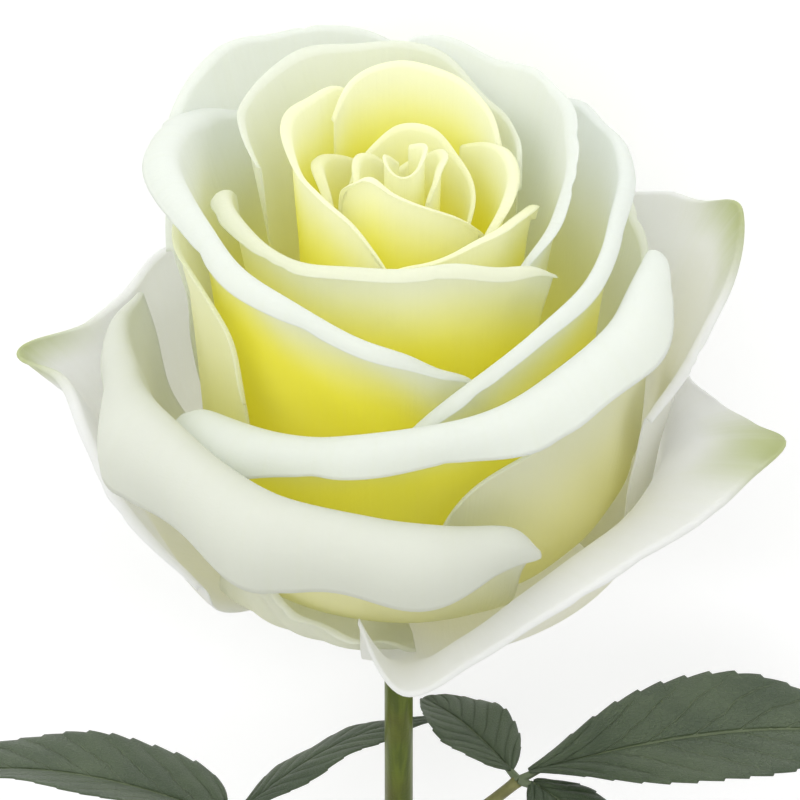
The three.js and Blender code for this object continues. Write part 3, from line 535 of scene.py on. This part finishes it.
def bar(path, radii, sides, slant=0.0):
    """Points and faces of a round bar along a path, its far end cut at a slant."""
    ahead = np.gradient(path, axis=0)
    ahead /= np.linalg.norm(ahead, axis=1, keepdims=True)
    across = np.cross([0, 0, 1.0], ahead)
    across /= np.linalg.norm(across, axis=1, keepdims=True)
    over = np.cross(ahead, across)
    turn = 2 * np.pi * np.arange(sides)[:, None] / sides
    outward = np.cos(turn) * across[:, None] + np.sin(turn) * over[:, None]
    rings = path[:, None] + radii[:, None, None] * outward
    rings[-1] += math.tan(math.radians(slant)) * radii[-1] * np.cos(turn) * ahead[-1]
    points = np.concatenate([rings.reshape(-1, 3), [path[0]], [path[-1]]])
    start_centre, end_centre = len(path) * sides, len(path) * sides + 1
    last_ring = start_centre - sides
    pairs = [(s, (s + 1) % sides) for s in range(sides)]
    faces = [[ring + s, ring + t, ring + sides + t, ring + sides + s]
             for ring in range(0, last_ring, sides) for s, t in pairs]
    faces += [[start_centre, t, s] for s, t in pairs]
    faces += [[end_centre, last_ring + s, last_ring + t] for s, t in pairs]
    return points, faces


heights = np.linspace(STEM_TOP, STEM_TOP - STEM_LENGTH, 260)
stem_green = green_material("stem", (0.105, 0.14, 0.008), (0.06, 0.085, 0.005), (0.09, 0.07, 0.012),
                            (900, 40, 900), 0.32)
stem_points, stem_faces = bar(stem_axis(heights), stem_radius(heights), 40, STEM_CUT)
make_piece("stem", stem_points, stem_faces, stem_green, ["stem"])

# ---------------------------------------------------------------------------------------------------------
# Thorns: hooked prickles set round the stem in a spiral, broad and green at the foot and red-brown at the
# point. One curve down the stem carries them, and each is swept along its own small hook.
# ---------------------------------------------------------------------------------------------------------
THORNS, THORN_LENGTH, THORN_FOOT, THORN_HOOK = 8, 6.6, 1.7, 2.2  # length from the stem's middle line
FIRST_THORN, THORN_STEP = 70, 137.5  # azimuth of the first thorn, and from each to the next
THORN_START, THORN_RUN = STEM_TOP - 78, STEM_LENGTH - 100  # height of the first, and to the last
thorn_skin = new_material("thorn")
tip = Wire.node("ShaderNodeAttribute", {"attribute_name": "tip"}, output=2)
thorn_place = Wire.node("ShaderNodeTexCoord", output=3)
skin_noise = Wire.node("ShaderNodeTexNoise", {}, {"Vector": thorn_place, "Scale": 900.0})
redness = (tip * 1.15 + (skin_noise - 0.5) * 0.3).band(0.1, 0.75)
thorn_colour = Wire.blend(redness, (0.22, 0.27, 0.08, 1), (0.25, 0.085, 0.05, 1))
finish_surface(thorn_colour, 0.3 + 0.15 * skin_noise, skin_noise, 0.0001)

thorn_tree = bpy.data.node_groups.new("thorns_on_stem", "GeometryNodeTree")
sockets = thorn_tree.interface
sockets.new_socket("Geometry", in_out="INPUT", socket_type="NodeSocketGeometry")
thorn_inputs = {name: sockets.new_socket(name, in_out="INPUT", socket_type="NodeSocket" + kind).identifier
                for name, kind in (("Count", "Int"), ("Length", "Float"), ("Foot radius", "Float"),
                                   ("Hook", "Float"), ("First turn", "Float"), ("Turn step", "Float"))}
sockets.new_socket("Geometry", in_out="OUTPUT", socket_type="NodeSocketGeometry")
made = thorn_tree.nodes.new
link = thorn_tree.links.new
given, result = made("NodeGroupInput"), made("NodeGroupOutput")
spots = made("GeometryNodeResampleCurve")
link(given.outputs["Geometry"], spots.inputs["Curve"])
link(given.outputs["Count"], spots.inputs["Count"])
hook = made("GeometryNodeCurveQuadraticBezier")
hook.inputs["Resolution"].default_value = 9
hook.inputs["Start"].default_value = (0, 0, 0)
for corner, share_out, share_down in (("Middle", 0.55, 0.0), ("End", 1.0, 1.0)):
    out, down, spot = made("ShaderNodeMath"), made("ShaderNodeMath"), made("ShaderNodeCombineXYZ")
    out.operation = down.operation = "MULTIPLY"
    link(given.outputs["Length"], out.inputs[0])
    out.inputs[1].default_value = share_out
    link(given.outputs["Hook"], down.inputs[0])
    down.inputs[1].default_value = -share_down
    link(out.outputs[0], spot.inputs["Z"])
    link(down.outputs[0], spot.inputs["Y"])
    link(spot.outputs[0], hook.inputs[corner])
place = made("GeometryNodeSplineParameter")
taper = made("ShaderNodeFloatCurve")
taper.mapping.curves[0].points[0].location = (0, 1)
taper.mapping.curves[0].points[1].location = (1, 0.04)
taper.mapping.curves[0].points.new(0.35, 0.42)
taper.mapping.update()
link(place.outputs["Factor"], taper.inputs["Value"])
thick = made("GeometryNodeSetCurveRadius")
link(hook.outputs[0], thick.inputs["Curve"])
link(taper.outputs[0], thick.inputs["Radius"])
mark = made("GeometryNodeStoreNamedAttribute")
mark.data_type, mark.domain = "FLOAT", "POINT"
mark.inputs["Name"].default_value = "tip"
link(thick.outputs[0], mark.inputs["Geometry"])
link(place.outputs["Factor"], mark.inputs["Value"])
ring = made("GeometryNodeCurvePrimitiveCircle")
ring.inputs["Resolution"].default_value = 10
link(given.outputs["Foot radius"], ring.inputs["Radius"])
sweep = made("GeometryNodeCurveToMesh")
sweep.inputs["Fill Caps"].default_value = True
link(mark.outputs[0], sweep.inputs["Curve"])
link(ring.outputs[0], sweep.inputs["Profile Curve"])
link(made("GeometryNodeInputRadius").outputs[0], sweep.inputs["Scale"])
which, angle = made("GeometryNodeInputIndex"), made("ShaderNodeMath")
angle.operation = "MULTIPLY_ADD"
link(which.outputs[0], angle.inputs[0])
link(given.outputs["Turn step"], angle.inputs[1])
link(given.outputs["First turn"], angle.inputs[2])
spin = made("ShaderNodeCombineXYZ")
link(angle.outputs[0], spin.inputs["Y"])
put = made("GeometryNodeInstanceOnPoints")
link(spots.outputs[0], put.inputs["Points"])
link(sweep.outputs[0], put.inputs["Instance"])
link(spin.outputs[0], put.inputs["Rotation"])
real, skin = made("GeometryNodeRealizeInstances"), made("GeometryNodeSetMaterial")
skin.inputs["Material"].default_value = thorn_skin
link(put.outputs[0], real.inputs[0])
link(real.outputs[0], skin.inputs["Geometry"])
link(skin.outputs[0], result.inputs[0])

line = bpy.data.curves.new("thorn_line", "CURVE")
line.dimensions = "3D"
run = np.linspace(THORN_START, THORN_START - THORN_RUN, THORNS)
spline = line.splines.new("POLY")
spline.points.add(THORNS - 1)
for point, at in zip(spline.points, stem_axis(run)):
    point.co = (*at, 1)
carrier = bpy.data.objects.new("thorn_line", line)
scene.collection.objects.link(carrier)
grower = carrier.modifiers.new("thorns", "NODES")
grower.node_group = thorn_tree
for key, value in (("Count", THORNS), ("Length", THORN_LENGTH), ("Foot radius", THORN_FOOT),
                   ("Hook", THORN_HOOK), ("First turn", math.radians(FIRST_THORN)),
                   ("Turn step", math.radians(THORN_STEP))):
    grower[thorn_inputs[key]] = value
evaluated = carrier.evaluated_get(bpy.context.evaluated_depsgraph_get())
grown = bpy.data.meshes.new_from_object(evaluated)
thorn_points = np.array([vertex.co for vertex in grown.vertices])
thorn_faces = [list(polygon.vertices) for polygon in grown.polygons]
redder = [mark.value for mark in grown.attributes["tip"].data]
make_piece("thorns", thorn_points, thorn_faces, thorn_skin, ["stem"], tints={"tip": redder})
bpy.data.objects.remove(carrier)

# ---------------------------------------------------------------------------------------------------------
# Leaves: dark grey-green, leathery and a little glossy, three toothed leaflets on each thin petiole. Blades
# are folded along a pale sunken midrib and puckered between the side veins.
# ---------------------------------------------------------------------------------------------------------
LEAF_THICKNESS = 0.42
PETIOLE_RADIUS = 0.95
SIDE_VEINS, VEIN_SLANT = 8, 2.3  # side veins along a blade, and how far they run ahead towards its edge


def leaf_material():
    """Dark leathery green with a paler midrib, side veins and a net of fine ones, from the blade's UV map."""
    material = new_material("leaf")
    uv = Wire.node("ShaderNodeUVMap")
    parts = Wire.node("ShaderNodeSeparateXYZ", {}, {"Vector": uv})
    across = (parts - 0.5).math("ABSOLUTE") * 2.0
    along = Wire(parts.socket.node.outputs[1])
    wobble = Wire.node("ShaderNodeTexNoise", {}, {"Vector": uv, "Scale": 7.0, "Detail": 2.0})
    rib = (along * SIDE_VEINS - across * VEIN_SLANT + (wobble - 0.5) * 0.5).math("FRACT")
    side_vein = (rib - 0.5).math("ABSOLUTE").band(0.06, 0.0) * across.band(1.0, 0.7)
    midrib = across.band(0.055, 0.015)
    net_place = Wire.node("ShaderNodeMapping", {}, {"Vector": uv, "Scale": (34, 60, 1)})
    net = Wire.node("ShaderNodeTexVoronoi", {"feature": "DISTANCE_TO_EDGE"},
                    {"Vector": net_place, "Scale": 1.0})
    threads = net.band(0.10, 0.0)
    veins = (midrib + side_vein * 0.55 + threads * 0.22).clip()
    place = Wire.node("ShaderNodeTexCoord", output=3)
    mottle = Wire.node("ShaderNodeTexNoise", {}, {"Vector": place, "Scale": 95.0, "Detail": 4.0})
    dust = Wire.node("ShaderNodeTexNoise", {}, {"Vector": place, "Scale": 2400.0, "Detail": 1.0})
    colour = Wire.blend(mottle.band(0.3, 0.72), (0.046, 0.074, 0.034, 1), (0.078, 0.112, 0.056, 1))
    colour = Wire.blend(veins * 0.6, colour, (0.15, 0.19, 0.09, 1))
    height = (1 - veins) * 0.8 + mottle * 0.3 + dust * 0.12
    finish_surface(colour, 0.34 + 0.16 * mottle, height, 0.0004, {"Specular IOR Level": 0.62},
                   (0.10, (0.20, 0.30, 0.07, 1)))
    return material


leaf_green = leaf_material()
petiole_green = green_material("petiole", (0.21, 0.21, 0.075), (0.15, 0.15, 0.05), (0.22, 0.10, 0.05),
                               (500, 500, 500), 0.4)


def leaflet(name, fork, base, along, upper, length, width, folds, arch, teeth, blunt=0):
    """Blade from its base towards its tip, on a stalk from the fork; its halves fold down by degrees."""
    ahead = np.array(along, float) / np.linalg.norm(along)
    side = np.cross(ahead, upper)
    side /= np.linalg.norm(side)
    normal = np.cross(side, ahead)
    t, s = np.meshgrid(np.linspace(0, 1, 150), np.linspace(-1, 1, 45))
    outline = np.abs(np.sin(np.pi * t ** (0.82 - 0.22 * blunt))) ** (0.85 - 0.3 * blunt)
    half = 0.45 + (width / 2 - 0.45) * outline
    tooth = ((t * teeth) % 1 - 0.5) * smooth(t, 0.02, 0.15) * (1 - smooth(t, 0.93, 1))
    half = half * (1 + 0.06 * np.abs(s) ** 5 * tooth)
    fold = np.radians(np.where(s < 0, folds[0], folds[1]))
    reach = np.abs(s) * half
    pucker = np.abs(np.sin(np.pi * (SIDE_VEINS * t - VEIN_SLANT * np.abs(s) + 0.5)))
    wave = np.sin(2 * np.pi * (2.2 * t + 0.2 * np.sign(s))) * np.sin(np.pi * t)
    midrib = np.exp(-((s * half) / 0.5) ** 2)
    lift = length * arch * (1 - (2 * t - 1) ** 2) - 0.12 * length * t**3 - reach * np.sin(fold)
    lift = lift + 0.34 * pucker * np.sin(np.pi * np.abs(s)) ** 0.7
    lift = lift + 0.5 * np.abs(s) ** 2 * wave - 0.35 * midrib
    blade = (np.array(base, float) + ahead * (length * t)[..., None] + normal * lift[..., None]
             + side * (s * half * np.cos(fold))[..., None])
    points, faces = closed_shell(blade, LEAF_THICKNESS)
    uv = np.tile(np.stack([(s + 1) / 2, t], -1).reshape(-1, 2), (2, 1))
    foot = np.linspace(0, 1, 14)[:, None]
    stalk = np.array(fork, float) * (1 - foot) + (np.array(base, float) + ahead * 1.6 - normal * 0.25) * foot
    stalk_points, stalk_faces = bar(stalk, np.linspace(0.75, 0.5, 14), 12)
    faces = [list(f) for f in faces] + [[i + len(points) for i in f] for f in stalk_faces]
    points = np.concatenate([points, stalk_points])
    uv = np.concatenate([uv, np.tile([[0.5, 0.0]], (len(stalk_points), 1))])
    make_piece(name, points, faces, leaf_green, [name], uv)


def petiole(name, from_height, fork):
    """Thin stalk of a whole leaf, from the stem to the fork of its leaflets."""
    start, end = stem_axis(float(from_height)), np.array(fork, float)
    out = (end - start) * [1, 0, 1]
    start = start + out / np.linalg.norm(out) * (stem_radius(from_height) + 0.2)
    t = np.linspace(0, 1, 40)
    path = start + (end - start) * t[:, None] + np.array([0, -3.4, 0]) * (t * (1 - t))[:, None]
    radii = PETIOLE_RADIUS * (1 + 0.5 * np.exp(-t * 9) + 0.12 * smooth(t, 0.93, 1))
    points, faces = bar(path, radii, 20)
    make_piece(name, points, faces, petiole_green, [name])


RIGHT_FORK, LEFT_FORK = (18.3, -55.4, 2.2), (-26.6, -61, 6.2)
petiole("leaf_right_petiole", LEAF_NODES[0], RIGHT_FORK)
leaflet("leaf_right_terminal", RIGHT_FORK, [20, -54.8, 0.8], [1, 0.02, -0.19], [0, 1, 0.12],
        length=61, width=25, folds=[4, -20], arch=0.05, teeth=15, blunt=-0.8)
leaflet("leaf_right_back", RIGHT_FORK, [17.2, -54.6, 0.6], [-0.7, 0.04, -0.82], [0.05, 1, 0.1],
        length=21.5, width=14.5, folds=[-26, 8], arch=0.05, teeth=9)
leaflet("leaf_right_front", RIGHT_FORK, [20.6, -55.7, 2.1], [0.66, -0.03, 0.74], [0.1, 1, -0.1],
        length=26, width=14, folds=[8, 8], arch=0.05, teeth=10)
petiole("leaf_left_petiole", LEAF_NODES[1], LEFT_FORK)
leaflet("leaf_left_terminal", LEFT_FORK, [-28.4, -60.6, 5.4], [-1, 0.08, -0.2], [-0.1, 1, -0.05],
        length=50, width=24, folds=[-38, 12], arch=0.07, teeth=14, blunt=1)
leaflet("leaf_left_back", LEFT_FORK, [-25.2, -60.2, 4], [0.82, 0.08, -0.58], [-0.3, 0.85, -0.44],
        length=37, width=12, folds=[6, 6], arch=0.05, teeth=11)
leaflet("leaf_left_front", LEFT_FORK, [-27, -61.8, 8.2], [-0.35, -0.1, 0.93], [-0.1, 1, 0],
        length=27, width=15, folds=[8, 8], arch=0.05, teeth=10)

# ---------------------------------------------------------------------------------------------------------
# Table, light and camera: a plain white table under a big soft light over the bloom and a pale sky.
# The camera looks down on the bloom's open face from above its front.
# ---------------------------------------------------------------------------------------------------------
table = bpy.data.meshes.new("table")
table.from_pydata([(-4, -4, 0), (4, -4, 0), (4, 4, 0), (-4, 4, 0)], [], [(0, 1, 2, 3)])
table_top = new_material("table")
finish_surface((0.97, 0.97, 0.97, 1), 0.7, fixed={"Specular IOR Level": 0.2, "Emission Strength": 0.14})
table.materials.append(table_top)
table_object = bpy.data.objects.new("table", table)
scene.collection.objects.link(table_object)


def set_pose(thing, spot, right, up, back):
    """Place an object at spot with its own axes along right, up and back."""
    pose = thing.matrix_world.copy()
    for row in range(3):
        pose[row][0], pose[row][1], pose[row][2], pose[row][3] = right[row], up[row], back[row], spot[row]
    thing.matrix_world = pose


def soft_light(name, place, aim, size, watts):
    """Square lamp at place that shines towards aim, both in the rose's own frame."""
    lamp = bpy.data.lights.new(name, "AREA")
    lamp.energy, lamp.size = watts, size
    thing = bpy.data.objects.new(name, lamp)
    scene.collection.objects.link(thing)
    spot, target = laid(place), laid(aim)
    ahead = (target - spot) / np.linalg.norm(target - spot)
    side = np.cross(ahead, [0, 0, 1.0])
    side /= np.linalg.norm(side)
    set_pose(thing, spot, side, np.cross(side, ahead), -ahead)


soft_light("over_the_bloom", (-300, 860, 330), (0, 40, 0), 0.9, 2.2)
world = bpy.data.worlds.new("pale_sky")
scene.world = world
world.use_nodes = True
Wire.tree = world.node_tree
sky = world.node_tree.nodes["Background"]
sky.inputs["Color"].default_value = (1, 1, 1, 1)
# The sky is brighter on the side that the bloom faces.
facing = Wire.node("ShaderNodeVectorMath", {"operation": "DOT_PRODUCT"},
                   {0: Wire.node("ShaderNodeTexCoord", output=0), 1: (-0.2, 0.92, 0.34)}, output=1)
world.node_tree.links.new((facing * 0.34 + 0.9).socket, sky.inputs["Strength"])

LOOK_DOWN, LOOK_FROM, LOOK_AT = math.radians(44), 520, np.array([-0.4, 26, 0])
away = np.array([0, math.sin(LOOK_DOWN), math.cos(LOOK_DOWN)])
over = np.array([0, math.cos(LOOK_DOWN), -math.sin(LOOK_DOWN)])
lens = bpy.data.cameras.new("camera")
lens.sensor_width, lens.lens, lens.clip_start, lens.clip_end = 36, 163.8, 0.02, 20
camera = bpy.data.objects.new("camera", lens)
scene.collection.objects.link(camera)
origin = laid((0, 0, 0))
right_up_back = [(laid(axis) - origin) * 1000 for axis in ((1, 0, 0), over, away)]
set_pose(camera, laid(LOOK_AT + away * LOOK_FROM), *right_up_back)
scene.camera = camera
scene.view_settings.view_transform = "Standard"
